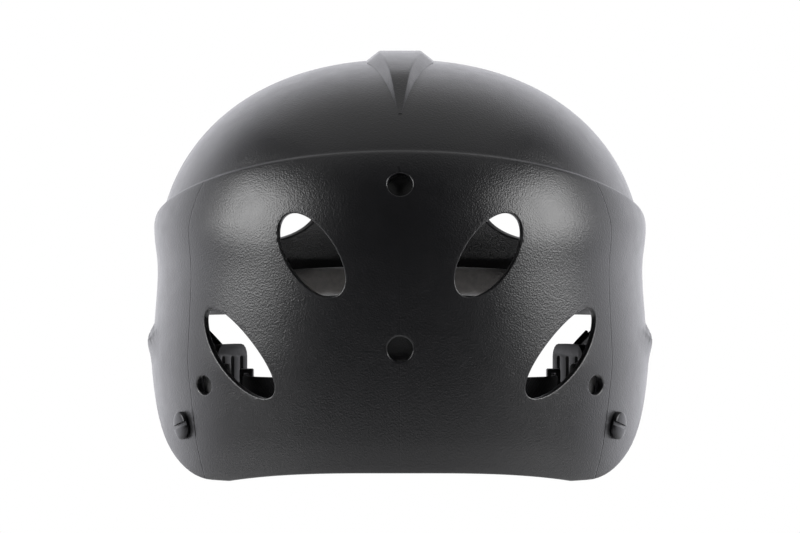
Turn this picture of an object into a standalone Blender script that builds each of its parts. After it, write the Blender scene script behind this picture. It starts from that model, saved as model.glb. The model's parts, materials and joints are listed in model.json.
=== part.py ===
"""Half-cut water helmet: moulded shell, foam pads, four-point webbing harness and buckle.

Frame: +Z up, the wearer faces -Y, the wearer's left is +X.  The origin is the middle of the
head opening, at the height of the lowest stretch of the rim.  Lengths are in metres.
A place on the shell is an angle round it (0 at the left side, 90 degrees at the nape,
-90 degrees at the brow) and a height.
"""

import math

import bmesh
import bpy
from mathutils import Matrix, Vector

# ---- shell, overall -------------------------------------------------------------------
HALF_WIDTH = 0.1125        # dome, from the middle to the side
REAR_DEPTH = 0.138         # dome, from the middle to the nape
FRONT_DEPTH = 0.139        # dome, from the middle to the brow
BASE_HEIGHT = 0.095        # height where the dome is widest
DOME_HEIGHT = 0.096        # from the widest place to the crown
WALL = 0.003
PLAN_POWER = 2.1           # squareness of the plan outline
DOME_POWER = 2.2           # squareness of the dome's upright outline

# How far the skirt stands out from the dome's own outline, as (height, distance) points.
SIDE_SWELL = ((0.0, -0.0024), (0.015, 0.0001), (0.038, 0.0018), (0.052, 0.0028),
              (0.070, 0.0014), (0.088, 0.0001), (0.098, 0.0002), (0.108, 0.0020),
              (0.116, 0.0032), (0.200, 0.0032))
REAR_SWELL = ((0.0, -0.0110), (0.020, -0.0060), (0.050, -0.0020), (0.095, 0.0008),
              (0.200, 0.0008))
FRONT_SWELL = ((0.0, -0.0060), (0.060, 0.0010), (0.095, 0.0020), (0.200, 0.0020))

# ---- lip between skirt and dome --------------------------------------------------------
LIP_HEIGHT = 0.116         # at the side
LIP_SLOPE = 0.175          # rise for each metre towards the nape
LIP_CURVE = 0.5            # extra rise for each square metre
LEDGE_RISE = 0.0006

# ---- lower rim -------------------------------------------------------------------------
EDGE_RISE = 0.0715          # temple height of the rim
EDGE_START = 0.085         # the rim starts to rise this far behind the middle
EDGE_RUN = 0.125           # length over which it rises
NAPE_ARCH = 0.0051
NAPE_ARCH_HALF = 0.076
BROW_ARCH = 0.004
BROW_ARCH_HALF = 0.070
TRIM = 0.003               # spare skirt that the rim cutter takes off

# ---- side rib --------------------------------------------------------------------------
RIB_HEIGHT = 0.0024
RIB_LEVEL = 0.061          # lowest height of the rib's crest
RIB_LOW_Y = 0.018          # where the crest is lowest
RIB_TAIL_RISE = 0.005
RIB_TAIL_RUN = 0.030
RIB_FRONT_RISE = 0.006
RIB_FRONT_RUN = 0.030
RIB_FADE = 0.011           # soft lower flank
RIB_SHARP = 0.004          # short upper flank
RIB_TAIL_FADE = 0.028
RIB_FRONT_FADE = 0.030

# ---- crown spine -----------------------------------------------------------------------
SPINE_HEIGHT = 0.0038
SPINE_HALF_BASE = 0.0152
SPINE_TIP_HALF = 0.0011
SPINE_TOP_SHARE = 0.625    # flat top, as a share of the base
SPINE_WIDE = 0.038         # full width this far from the crown
SPINE_TIP = 0.105          # tips this far from the crown
SPINE_SINK = 0.0015        # how deep it is rooted in the wall

# ---- vents and holes: angle round the shell, height, half sizes -------------------------
UPPER_VENT = dict(angle=70.9, height=0.100, half_long=0.0213, half_wide=0.0111, tilt=35)
LOWER_VENT = dict(angle=52.0, height=0.057, half_long=0.0267, half_wide=0.0104, tilt=52.5)
FRONT_VENT = dict(angle=-57.0, height=0.1215, half_long=0.022, half_wide=0.0125, tilt=84)
CENTRE_HOLE_RADIUS = 0.0055
CENTRE_HOLE_HEIGHTS = (0.1307, 0.0593)
SIDE_HOLE = dict(angle=41.7, height=0.0425, half_long=0.0042, half_wide=0.0056, tilt=0)
CUT_LENGTH = 0.030

# ---- pads ------------------------------------------------------------------------------
PAD_GAP = 0.0010           # between a pad and the shell's inner face
PAD_THICK = 0.014
THIN_PAD = 0.007
BROW_PAD = dict(low=0.0765, end_drop=0.006, half_angle=50)
LIP_CLEAR = 0.0025         # pads under the lip stop this far below the wall's inner step
CROWN_PAD_HALF_X = 0.052
CROWN_PAD_HALF_Y = 0.066
NAPE_PAD = dict(low=0.051, neck=0.080, half_wide=15, half_narrow=8.5)
SIDE_PAD = dict(low=0.076, high=0.100, front=-6, back=20)
SPOT_PAD = dict(low=0.032, high=0.053, front=37.6, back=46.5)

# ---- harness anchors -------------------------------------------------------------------
FRONT_ANCHOR = dict(angle=-22.5, height=0.088)
REAR_ANCHOR = dict(angle=32.1, height=0.024)
SCREW_HEAD_RADIUS = 0.00625
SCREW_HEAD_HEIGHT = 0.0026
SCREW_SLOT_WIDTH = 0.0014
SCREW_SLOT_DEPTH = 0.0013
SHANK_RADIUS = 0.0020
BARREL_RADIUS = 0.0032
FLANGE_RADIUS = 0.0065
FLANGE_THICK = 0.0015
TAB_WIDTH = 0.022
TAB_LENGTH = 0.024
TAB_THICK = 0.0015
TAB_STANDOFF = 0.0020      # a flat tab needs this much room in front of the hollow wall
FIT_GAP = 0.0003           # between pieces that touch

# ---- webbing harness -------------------------------------------------------------------
WEBBING_WIDTH = 0.020
WEBBING_THICK = 0.0016
STRAP_PULL = 0.22           # share of a V strap that leaves its tab straight
LOOP_INSET = 0.0425        # chin strap's side run, inside the dome's half width
LOOP_REAR_INSET = 0.041    # chin strap's rear run, inside the dome's rear depth
LOOP_CORNER = 0.034
LOOP_LEVEL = 0.036
PIVOT_Y = 0.006
DIVIDER_LENGTH = 0.030
DIVIDER_TALL = 0.032
DIVIDER_THICK = 0.004
DIVIDER_TURN = 25          # degrees, front end turned inwards
DIVIDER_STANDOFF = 0.0095  # from the chin strap's side run
DIVIDER_LIFT = 0.007       # above the chin strap's level
SLOT_WIDTH = 0.003
KEEPER_Y = 0.036
KEEPER_LENGTH = 0.012
KEEPER_WALL = 0.0018
KEEPER_ROOM = 0.0005

# ---- side-release buckle ---------------------------------------------------------------
BUCKLE_PLATE = 0.004       # thickness of the male half
BUCKLE_PLATE_LENGTH = 0.024
BUCKLE_TALL = 0.026
BUCKLE_BODY_LENGTH = 0.029
BUCKLE_WALL = 0.0015
PRONG_LENGTH = 0.018
PRONG_WIDTH = 0.0026
PRONG_HEAD = 0.008
GUIDE_LENGTH = 0.015
GUIDE_HALF = 0.0017
BUCKLE_ROOM = 0.0005       # between the male half and the body's hollow

LOOP_HALF_WIDTH = HALF_WIDTH - LOOP_INSET
LOOP_REAR = REAR_DEPTH - LOOP_REAR_INSET
BUCKLE_Y = LOOP_REAR + WEBBING_THICK / 2 + FIT_GAP + BUCKLE_PLATE / 2
ANGLE_STEPS = 26           # facets from brow to nape on each half
ROW_LIFT = 0.018           # ahead of the rib, its row of facets rises clear of the rim
ROW_LIFT_RUN = 0.050
LOW_ROWS = 4               # rows of facets under the rib
HIGH_ROWS = 6              # rows of facets between the rib and the lip
DOME_ROWS = 9
ROUND_STEPS = 24
SIDES = (("left", 1), ("right", -1))

ABS_BLACK = ("moulded_abs", (0.020, 0.020, 0.022), 0.48, 0.0)
FOAM_TAUPE = ("foam_pad", (0.042, 0.038, 0.036), 0.9, 0.0)
WEBBING_BLACK = ("webbing", (0.012, 0.012, 0.013), 0.85, 0.0)
ACETAL_BLACK = ("harness_plastic", (0.014, 0.014, 0.015), 0.4, 0.0)
SCREW_BLACK = ("blackened_screw", (0.018, 0.018, 0.020), 0.35, 0.9)


# ---- helpers ---------------------------------------------------------------------------
def ease(share):
    """Smooth step from 0 to 1."""
    share = min(max(share, 0.0), 1.0)
    return share * share * (3 - 2 * share)


def read_curve(points, height):
    """Value at a height on an outline whose points are joined by eased steps of slope."""
    heights = [point[0] for point in points]
    values = [point[1] for point in points]
    if height <= heights[0]:
        return values[0]
    for k in range(len(points) - 1):
        if height > heights[k + 1]:
            continue
        before = max(k - 1, 0)
        after = min(k + 2, len(points) - 1)
        slope_low = (values[k + 1] - values[before]) / (heights[k + 1] - heights[before])
        slope_high = (values[after] - values[k]) / (heights[after] - heights[k])
        span = heights[k + 1] - heights[k]
        t = (height - heights[k]) / span
        return ((2 * t ** 3 - 3 * t ** 2 + 1) * values[k] + (t ** 3 - 2 * t ** 2 + t) * span * slope_low
                + (3 * t ** 2 - 2 * t ** 3) * values[k + 1] + (t ** 3 - t ** 2) * span * slope_high)
    return values[-1]


def material_for(finish):
    """The Principled material of a finish, made once."""
    name, colour, roughness, metallic = finish
    material = bpy.data.materials.get(name)
    if material is None:
        material = bpy.data.materials.new(name)
        material.use_nodes = True
        shader = material.node_tree.nodes["Principled BSDF"]
        shader.inputs["Base Color"].default_value = (*colour, 1.0)
        shader.inputs["Roughness"].default_value = roughness
        shader.inputs["Metallic"].default_value = metallic
    return material


def new_object(name, data, finish=None):
    """Put data in the scene as a part, or as a cutter when it has no finish."""
    item = bpy.data.objects.new(name, data)
    if finish is None:
        cutters.objects.link(item)
        item.hide_render = True
        item.display_type = "WIRE"
    else:
        parts.objects.link(item)
        data.materials.append(material_for(finish))
    return item


def mesh_object(name, bm, finish=None):
    """Turn a bmesh into an object."""
    mesh = bpy.data.meshes.new(name)
    bm.to_mesh(mesh)
    bm.free()
    return new_object(name, mesh, finish)


def sheet_object(name, columns, rows, place, finish=None):
    """An open sheet: a grid whose corners are set by place(share along, row number)."""
    bm = bmesh.new()
    bmesh.ops.create_grid(bm, x_segments=columns, y_segments=rows, size=0.5)
    for vertex in bm.verts:
        along = vertex.co.x + 0.5
        row = round((vertex.co.y + 0.5) * rows)
        vertex.co = place(along, row)
    bmesh.ops.remove_doubles(bm, verts=bm.verts, dist=0.00002)
    return mesh_object(name, bm, finish)


def add_solidify(item, thickness, offset):
    modifier = item.modifiers.new("thickness", "SOLIDIFY")
    modifier.thickness = thickness
    modifier.offset = offset
    modifier.use_even_offset = True


def add_boolean(item, tool, operation="DIFFERENCE"):
    modifier = item.modifiers.new(tool.name, "BOOLEAN")
    modifier.object = tool
    modifier.operation = operation
    modifier.solver = "EXACT"


def shade_round(item, degrees=35):
    item.data.shade_smooth()
    item.data.set_sharp_from_angle(angle=math.radians(degrees))


def flat_plate(name, outlines, thickness, matrix, finish):
    """A plate from closed outlines in its own XY plane; inner outlines are openings."""
    curve = bpy.data.curves.new(name, "CURVE")
    curve.dimensions = "2D"
    curve.fill_mode = "BOTH"
    curve.extrude = thickness / 2
    for outline in outlines:
        spline = curve.splines.new("POLY")
        spline.points.add(len(outline) - 1)
        for point, (x, y) in zip(spline.points, outline):
            point.co = (x, y, 0, 1)
        spline.use_cyclic_u = True
    item = new_object(name, curve, finish)
    item.matrix_world = matrix
    return item


def rounded_rectangle(half_x, half_y, radius, centre=(0, 0), steps=4):
    """Outline of a rectangle with round corners."""
    points = []
    for corner in range(4):
        sign_x = (1, -1, -1, 1)[corner]
        sign_y = (1, 1, -1, -1)[corner]
        for k in range(steps + 1):
            turn = math.radians(90 * (corner + k / steps))
            points.append((centre[0] + sign_x * (half_x - radius) + radius * math.cos(turn),
                           centre[1] + sign_y * (half_y - radius) + radius * math.sin(turn)))
    return points


def circle_outline(radius):
    turns = [2 * math.pi * k / ROUND_STEPS for k in range(ROUND_STEPS)]
    return [(radius * math.cos(turn), radius * math.sin(turn)) for turn in turns]


def turned_object(name, profile, matrix, finish):
    """A turned piece: a profile of (radius, height) points spun about its own Z axis."""
    bm = bmesh.new()
    corners = [bm.verts.new((radius, 0, height)) for radius, height in profile]
    for first, second in zip(corners, corners[1:]):
        bm.edges.new((first, second))
    item = mesh_object(name, bm, finish)
    screw = item.modifiers.new("turn", "SCREW")
    screw.steps = ROUND_STEPS
    screw.render_steps = ROUND_STEPS
    screw.use_merge_vertices = True
    screw.merge_threshold = 0.00001
    item.matrix_world = matrix
    return item


def box_object(name, low, high, finish=None):
    """A box between two corners."""
    bm = bmesh.new()
    size = Vector(high) - Vector(low)
    middle = (Vector(high) + Vector(low)) / 2
    bmesh.ops.create_cube(bm, size=1.0, matrix=Matrix.Translation(middle) @ Matrix.Diagonal((*size, 1)))
    return mesh_object(name, bm, finish)


def ribbon(name, centres, across, finish):
    """Flat webbing along a line of centres; across gives its width direction at each one."""
    last = len(centres) - 1

    def place(share, row):
        k = round(share * last)
        side = (row - 0.5) * WEBBING_WIDTH
        return centres[k] + across[k] * side

    item = sheet_object(name, last, 1, place, finish)
    add_solidify(item, WEBBING_THICK, 0)
    return item


# ---- the shell's surfaces --------------------------------------------------------------
def dome_share(height):
    """Size of the dome's outline at a height, as a share of its widest."""
    rise = min(max((height - BASE_HEIGHT) / DOME_HEIGHT, 0.0), 1.0)
    return (1 - rise ** DOME_POWER) ** (1 / DOME_POWER)


def plan_point(angle, half_width, half_depth, height):
    """Point on a squared oval at a height."""
    across = math.cos(math.radians(angle))
    along = math.sin(math.radians(angle))
    if abs(across) < 1e-9:
        across = 0.0
    power = 2 / PLAN_POWER
    return Vector((half_width * abs(across) ** power * math.copysign(1, across),
                   half_depth * abs(along) ** power * math.copysign(1, along), height))


def rib_crest(y):
    """Height of the side rib's crest."""
    tail = RIB_TAIL_RISE * ease((y - RIB_LOW_Y) / RIB_TAIL_RUN)
    return RIB_LEVEL + tail + RIB_FRONT_RISE * ease((RIB_LOW_Y - y) / RIB_FRONT_RUN)


def rib_amount(y, height):
    """How far the side rib stands out from the skirt."""
    tail_y = RIB_LOW_Y + RIB_TAIL_RUN
    front_y = RIB_LOW_Y - RIB_FRONT_RUN - 0.010
    along = ease((tail_y - y) / RIB_TAIL_FADE) * ease((y - front_y) / RIB_FRONT_FADE)
    above = height - rib_crest(y)
    across = ease(1 - above / RIB_SHARP) if above > 0 else ease(1 + above / RIB_FADE)
    return RIB_HEIGHT * along * across


def skirt_point(angle, height, ribbed=True):
    """Point on the skirt's outer face."""
    share = dome_share(height)
    half_width = HALF_WIDTH * share + read_curve(SIDE_SWELL, height)
    if angle > 0:
        half_depth = REAR_DEPTH * share + read_curve(REAR_SWELL, height)
    else:
        half_depth = FRONT_DEPTH * share + read_curve(FRONT_SWELL, height)
    point = plan_point(angle, half_width, half_depth, height)
    if ribbed and point.x:
        point.x += math.copysign(rib_amount(point.y, height), point.x)
    return point


def dome_point(angle, height):
    """Point on the dome's outer face."""
    share = dome_share(height)
    half_depth = REAR_DEPTH if angle > 0 else FRONT_DEPTH
    return plan_point(angle, HALF_WIDTH * share, half_depth * share, height)


def lip_height(angle):
    """Height of the lip; it depends on how far back the lip itself is."""
    height = LIP_HEIGHT
    for _ in range(8):
        y = skirt_point(angle, height).y
        height = LIP_HEIGHT + LIP_SLOPE * y + LIP_CURVE * y * y
    return height


def rim_height(x, y):
    """Height of the shell's lower edge."""
    sweep = EDGE_RISE * ease((EDGE_START - y) / EDGE_RUN)
    nape = NAPE_ARCH * (1 - min(abs(x) / NAPE_ARCH_HALF, 1.0) ** 3) * ease(y / EDGE_START)
    brow = BROW_ARCH * (1 - ease(abs(x) / BROW_ARCH_HALF)) * ease(-y / EDGE_START)
    return sweep + nape + brow


def surface_point(angle, height, ribbed=True):
    """Point on the outer face, skirt or dome, whichever is there."""
    if height < lip_height(angle):
        return skirt_point(angle, height, ribbed)
    return dome_point(angle, height)


def surface_frame(angle, height, depth=0.0, ribbed=True):
    """Matrix at a depth under the outer face: X level, Y up the face, Z straight out."""
    step = 0.0005
    turn = 0.1
    point = surface_point(angle, height, ribbed)
    level = surface_point(angle - turn, height, ribbed) - surface_point(angle + turn, height, ribbed)
    upward = surface_point(angle, height + step, ribbed) - surface_point(angle, height - step, ribbed)
    outward = upward.cross(level).normalized()
    if outward.dot(Vector((point.x, point.y, 0))) < 0:
        outward.negate()
    upward = (upward - outward * upward.dot(outward)).normalized()
    level = upward.cross(outward)
    matrix = Matrix((level, upward, outward)).transposed().to_4x4()
    matrix.translation = point - outward * depth
    return matrix


def mirrored(matrix, sign):
    """A place on the other side of the helmet, still right-handed."""
    if sign > 0:
        return matrix.copy()
    flip = Matrix.Diagonal((-1, 1, 1, 1))
    return flip @ matrix @ flip


# ---- shell -----------------------------------------------------------------------------
def skirt_heights(angle):
    """Heights of the skirt's rows, with one row along the rib's crest."""
    lip = lip_height(angle)
    y = skirt_point(angle, RIB_LEVEL).y
    low = EDGE_RISE * ease((EDGE_START - y) / EDGE_RUN) - TRIM
    crest = rib_crest(y) + ROW_LIFT * ease(-y / ROW_LIFT_RUN)
    under = crest - RIB_FADE
    over = crest + RIB_SHARP
    heights = [low + (under - low) * k / LOW_ROWS for k in range(LOW_ROWS + 1)]
    heights += [crest - RIB_FADE / 2, crest, over]
    heights += [over + (lip - over) * k / HIGH_ROWS for k in range(1, HIGH_ROWS + 1)]
    return heights


def shell_column(angle):
    """Points of the outer face from the rim to the crown at one angle."""
    heights = skirt_heights(angle)
    column = [skirt_point(angle, height) for height in heights]
    foot = heights[-1] + LEDGE_RISE
    start = math.asin(((foot - BASE_HEIGHT) / DOME_HEIGHT) ** (DOME_POWER / 2))
    for k in range(DOME_ROWS + 1):
        turn = start + (math.pi / 2 - start) * k / DOME_ROWS
        height = BASE_HEIGHT + DOME_HEIGHT * math.sin(turn) ** (2 / DOME_POWER)
        column.append(dome_point(angle, height))
    column[-1] = Vector((0, 0, BASE_HEIGHT + DOME_HEIGHT))
    return column


def make_spine():
    """Raised wedge over the crown, rooted in the wall."""
    stations = 20
    bm = bmesh.new()
    rings = []
    for k in range(stations + 1):
        y = SPINE_TIP * (2 * k / stations - 1)
        wide = ease((SPINE_TIP - abs(y)) / (SPINE_TIP - SPINE_WIDE))
        straight = min((SPINE_TIP - abs(y)) / (SPINE_TIP - SPINE_WIDE), 1.0)
        half = SPINE_TIP_HALF + (SPINE_HALF_BASE - SPINE_TIP_HALF) * straight
        depth = REAR_DEPTH if y > 0 else FRONT_DEPTH
        share = (abs(y) / depth) ** DOME_POWER
        surface = BASE_HEIGHT + DOME_HEIGHT * (1 - share) ** (1 / DOME_POWER)
        top = surface + SPINE_HEIGHT * wide + 0.0002
        foot = surface - SPINE_SINK
        ring = ((-half, foot), (half, foot), (half, surface - SPINE_SINK / 4),
                (half * SPINE_TOP_SHARE, top), (-half * SPINE_TOP_SHARE, top),
                (-half, surface - SPINE_SINK / 4))
        rings.append([bm.verts.new((x, y, z)) for x, z in ring])
    for first, second in zip(rings, rings[1:]):
        for k in range(len(first)):
            following = (k + 1) % len(first)
            bm.faces.new((first[k], first[following], second[following], second[k]))
    bm.faces.new(rings[0])
    bm.faces.new(rings[-1])
    bmesh.ops.recalc_face_normals(bm, faces=bm.faces)
    return mesh_object("spine_form", bm)


def make_rim_cutter():
    """Block whose top face is the shell's lower edge."""
    columns = 24
    rows = 40
    half_x = HALF_WIDTH + 0.020
    half_y = REAR_DEPTH + 0.020

    def place(share, row):
        x = half_x * (2 * share - 1)
        y = half_y * (2 * row / rows - 1)
        return Vector((x, y, rim_height(x, y)))

    cutter = sheet_object("rim_cutter", columns, rows, place)
    bm = bmesh.new()
    bm.from_mesh(cutter.data)
    extruded = bmesh.ops.extrude_face_region(bm, geom=bm.faces[:])
    for item in extruded["geom"]:
        if isinstance(item, bmesh.types.BMVert):
            item.co.z = -0.030
    bmesh.ops.recalc_face_normals(bm, faces=bm.faces)
    bm.to_mesh(cutter.data)
    bm.free()
    return cutter


def make_hole_cutter(name, place, half_long, half_wide, tilt, sign):
    """Oval cutter straight through the wall."""
    bm = bmesh.new()
    bmesh.ops.create_cone(bm, cap_ends=True, segments=32, radius1=1, radius2=1, depth=1)
    frame = mirrored(surface_frame(place["angle"], place["height"]), sign)
    turn = Matrix.Rotation(math.radians(tilt * sign), 4, "Z")
    size = Matrix.Diagonal((half_wide, half_long, CUT_LENGTH, 1))
    bmesh.ops.transform(bm, matrix=frame @ turn @ size, verts=bm.verts)
    return mesh_object(name, bm)


def make_shell():
    """Dome and skirt in one moulding, with its rib, spine, vents and holes."""
    angles = [-90 + 180 * k / ANGLE_STEPS for k in range(ANGLE_STEPS + 1)]
    columns = [shell_column(angle) for angle in angles]
    rows = len(columns[0]) - 1

    def place(share, row):
        return columns[round(share * ANGLE_STEPS)][row]

    shell = sheet_object("shell", ANGLE_STEPS, rows, place, ABS_BLACK)
    mirror = shell.modifiers.new("other_half", "MIRROR")
    mirror.merge_threshold = 0.00005
    add_solidify(shell, WALL, -1)
    add_boolean(shell, make_spine(), "UNION")
    add_boolean(shell, make_rim_cutter())
    for name, vent in (("upper_vent", UPPER_VENT), ("lower_vent", LOWER_VENT),
                       ("front_vent", FRONT_VENT), ("side_hole", SIDE_HOLE)):
        for side, sign in SIDES:
            cutter = make_hole_cutter(f"{name}_{side}", vent, vent["half_long"], vent["half_wide"],
                                      vent["tilt"], sign)
            add_boolean(shell, cutter)
    for height in CENTRE_HOLE_HEIGHTS:
        cutter = make_hole_cutter("centre_hole", dict(angle=90, height=height), CENTRE_HOLE_RADIUS,
                                  CENTRE_HOLE_RADIUS, 0, 1)
        add_boolean(shell, cutter)
    barrel_hole = BARREL_RADIUS + FIT_GAP
    for name, anchor in (("front_anchor_hole", FRONT_ANCHOR), ("rear_anchor_hole", REAR_ANCHOR)):
        for side, sign in SIDES:
            cutter = make_hole_cutter(f"{name}_{side}", anchor, barrel_hole, barrel_hole, 0, sign)
            add_boolean(shell, cutter)
    shade_round(shell)


# ---- pads ------------------------------------------------------------------------------
def make_wall_pad(name, columns, rows, region, thickness, sign=1):
    """Foam pad on the inner wall; region(share across, share up) gives angle and height."""
    depth = WALL + PAD_GAP

    def place(share, row):
        angle, height = region(share, row / rows)
        point = surface_frame(angle, height, depth, ribbed=False).translation
        point.x *= sign
        return point

    pad = sheet_object(name, columns, rows, place, FOAM_TAUPE)
    middle = pad.data.polygons[len(pad.data.polygons) // 2]
    if middle.normal.dot(Vector((middle.center.x, middle.center.y, 0))) < 0:
        pad.data.flip_normals()
    add_solidify(pad, thickness, -1)
    shade_round(pad)


def brow_region(across, up):
    angle = -90 + BROW_PAD["half_angle"] * (2 * across - 1)
    bow = 1 - (2 * across - 1) ** 2
    high = lip_height(angle) - WALL - LIP_CLEAR - BROW_PAD["end_drop"] * (1 - bow)
    low = BROW_PAD["low"] + BROW_ARCH * bow
    return angle, low + (high - low) * up


def nape_region(across, up):
    high = lip_height(90) - WALL - LIP_CLEAR
    height = NAPE_PAD["low"] + (high - NAPE_PAD["low"]) * up
    waist = ease((height - NAPE_PAD["low"]) / (NAPE_PAD["neck"] - NAPE_PAD["low"]))
    half = NAPE_PAD["half_wide"] + (NAPE_PAD["half_narrow"] - NAPE_PAD["half_wide"]) * waist
    return 90 + half * (2 * across - 1), height


def side_region(across, up):
    angle = SIDE_PAD["front"] + (SIDE_PAD["back"] - SIDE_PAD["front"]) * across
    return angle, SIDE_PAD["low"] + (SIDE_PAD["high"] - SIDE_PAD["low"]) * up


def spot_region(across, up):
    angle = SPOT_PAD["front"] + (SPOT_PAD["back"] - SPOT_PAD["front"]) * across
    return angle, SPOT_PAD["low"] + (SPOT_PAD["high"] - SPOT_PAD["low"]) * up


def make_crown_pad():
    """Oval pad under the crown."""
    rows = 12
    depth = WALL + PAD_GAP

    def place(share, row):
        u = 2 * share - 1
        v = 2 * row / rows - 1
        x = CROWN_PAD_HALF_X * u * math.sqrt(1 - v * v / 2)
        y = CROWN_PAD_HALF_Y * v * math.sqrt(1 - u * u / 2)
        half_depth = REAR_DEPTH if y > 0 else FRONT_DEPTH
        spread = ((abs(x) / (HALF_WIDTH - depth)) ** PLAN_POWER
                  + (abs(y) / (half_depth - depth)) ** PLAN_POWER)
        rise = (1 - spread ** (DOME_POWER / PLAN_POWER)) ** (1 / DOME_POWER)
        return Vector((x, y, BASE_HEIGHT + (DOME_HEIGHT - depth) * rise))

    pad = sheet_object("crown_pad", 10, rows, place, FOAM_TAUPE)
    if pad.data.polygons[0].normal.z < 0:
        pad.data.flip_normals()
    add_solidify(pad, PAD_THICK, -1)
    shade_round(pad)


def make_pads():
    make_wall_pad("brow_pad", 18, 4, brow_region, PAD_THICK)
    make_wall_pad("nape_pad", 6, 12, nape_region, PAD_THICK)
    make_crown_pad()
    for side, sign in SIDES:
        make_wall_pad(f"side_pad_{side}", 8, 6, side_region, PAD_THICK, sign)
        make_wall_pad(f"spot_pad_{side}", 3, 3, spot_region, THIN_PAD, sign)


# ---- anchors and V straps --------------------------------------------------------------
def divider_frame(sign):
    """Middle of a divider plate: X along its length, Y up, Z out."""
    turn = math.radians(DIVIDER_TURN)
    length_way = Vector((math.sin(turn), math.cos(turn), 0))
    upward = Vector((0, 0, 1))
    outward = length_way.cross(upward)
    matrix = Matrix((length_way, upward, outward)).transposed().to_4x4()
    matrix.translation = Vector((LOOP_HALF_WIDTH + DIVIDER_STANDOFF, PIVOT_Y, LOOP_LEVEL + DIVIDER_LIFT))
    return mirrored(matrix, sign)


def make_screw(name, frame):
    """Slotted pan-head screw with its head on the outer face."""
    base = FIT_GAP
    top = base + SCREW_HEAD_HEIGHT
    tip = -(WALL + TAB_STANDOFF + TAB_THICK)
    profile = [(0, top), (SCREW_HEAD_RADIUS * 0.72, top), (SCREW_HEAD_RADIUS * 0.93, top - 0.0006),
               (SCREW_HEAD_RADIUS, top - 0.0015), (SCREW_HEAD_RADIUS, base), (SHANK_RADIUS, base),
               (SHANK_RADIUS, tip), (0, tip)]
    screw = turned_object(name, profile, frame, SCREW_BLACK)
    reach = SCREW_HEAD_RADIUS + 0.001
    slot = box_object(f"{name}_slot", (-reach, -SCREW_SLOT_WIDTH / 2, top - SCREW_SLOT_DEPTH),
                      (reach, SCREW_SLOT_WIDTH / 2, top + 0.001))
    slot.matrix_world = frame @ Matrix.Rotation(math.radians(50), 4, "Z")
    add_boolean(screw, slot)
    shade_round(screw)


def make_post(name, frame):
    """Flanged barrel nut that takes the screw from inside."""
    front = -(WALL + TAB_STANDOFF + TAB_THICK + FIT_GAP)
    back = front - FLANGE_THICK
    mouth = -FIT_GAP
    bore = SHANK_RADIUS + FIT_GAP
    floor = front - FLANGE_THICK / 3
    profile = [(bore, floor), (bore, mouth), (BARREL_RADIUS, mouth), (BARREL_RADIUS, front),
               (FLANGE_RADIUS, front), (FLANGE_RADIUS, back), (0, back)]
    turned_object(name, [(0, floor)] + profile, frame, SCREW_BLACK)


def anchor_frame(anchor, target, sign):
    """Anchor place with its X axis turned towards the divider."""
    frame = surface_frame(anchor["angle"], anchor["height"])
    towards = frame.inverted() @ target
    turn = math.atan2(towards.y, towards.x)
    return mirrored(frame @ Matrix.Rotation(turn, 4, "Z"), sign)


def make_anchor(end, anchor, slot_x, slot_y):
    """Screw, post, tab and strap from one anchor to the divider, on both sides."""
    target = divider_frame(1) @ Vector((slot_x, slot_y, DIVIDER_THICK / 2 + WEBBING_THICK))
    for side, sign in SIDES:
        frame = anchor_frame(anchor, target, sign)
        make_screw(f"{end}_screw_{side}", frame)
        make_post(f"{end}_post_{side}", frame)
        depth = WALL + TAB_STANDOFF + TAB_THICK / 2
        reach = (TAB_LENGTH - TAB_WIDTH) / 2
        tab = [rounded_rectangle(TAB_LENGTH / 2, TAB_WIDTH / 2, 0.005, centre=(reach, 0)),
               circle_outline(BARREL_RADIUS + FIT_GAP)]
        direction = 1 if sign > 0 else -1
        outline = [[(direction * x, y) for x, y in ring] for ring in tab]
        flat_plate(f"{end}_tab_{side}", outline, TAB_THICK, frame @ Matrix.Translation((0, 0, -depth)),
                   ACETAL_BLACK)
        make_v_strap(f"{end}_strap_{side}", anchor, target, reach + TAB_LENGTH / 2, depth, sign)


def make_v_strap(name, anchor, target, start, depth, sign):
    """Webbing from a tab's end to the divider's outer face."""
    steps = 10
    frame = anchor_frame(anchor, target, 1)
    first = frame @ Vector((start + FIT_GAP, 0, -depth))
    way = frame.to_3x3() @ Vector((1, 0, 0))
    side_start = frame.to_3x3() @ Vector((0, 1, 0))
    plate = divider_frame(1)
    side_end = side_start - plate.to_3x3().col[2] * side_start.dot(plate.to_3x3().col[2])
    side_end.normalize()
    pull = (target - first).length * STRAP_PULL
    arrive = (target - first).normalized()
    centres = []
    across = []
    for k in range(steps + 1):
        t = k / steps
        a = first
        b = first + way * pull
        c = target - arrive * pull
        point = (a * (1 - t) ** 3 + b * 3 * t * (1 - t) ** 2 + c * 3 * t * t * (1 - t) + target * t ** 3)
        width_way = side_start.lerp(side_end, t).normalized()
        centres.append(Vector((point.x * sign, point.y, point.z)))
        across.append(Vector((width_way.x * sign, width_way.y, width_way.z)))
    ribbon(name, centres, across, WEBBING_BLACK)


def make_dividers():
    """Plate with three slots that joins front, rear and chin webbing."""
    half_slot = WEBBING_WIDTH / 2 + 0.0005
    for side, sign in SIDES:
        outline = [rounded_rectangle(DIVIDER_LENGTH / 2, DIVIDER_TALL / 2, 0.006)]
        for x in (-DIVIDER_LENGTH / 2 + 0.006, 0, DIVIDER_LENGTH / 2 - 0.006):
            outline.append(rounded_rectangle(SLOT_WIDTH / 2, half_slot, 0.001, centre=(x, 0), steps=2))
        flat_plate(f"strap_divider_{side}", outline, DIVIDER_THICK, divider_frame(sign), ACETAL_BLACK)


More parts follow.
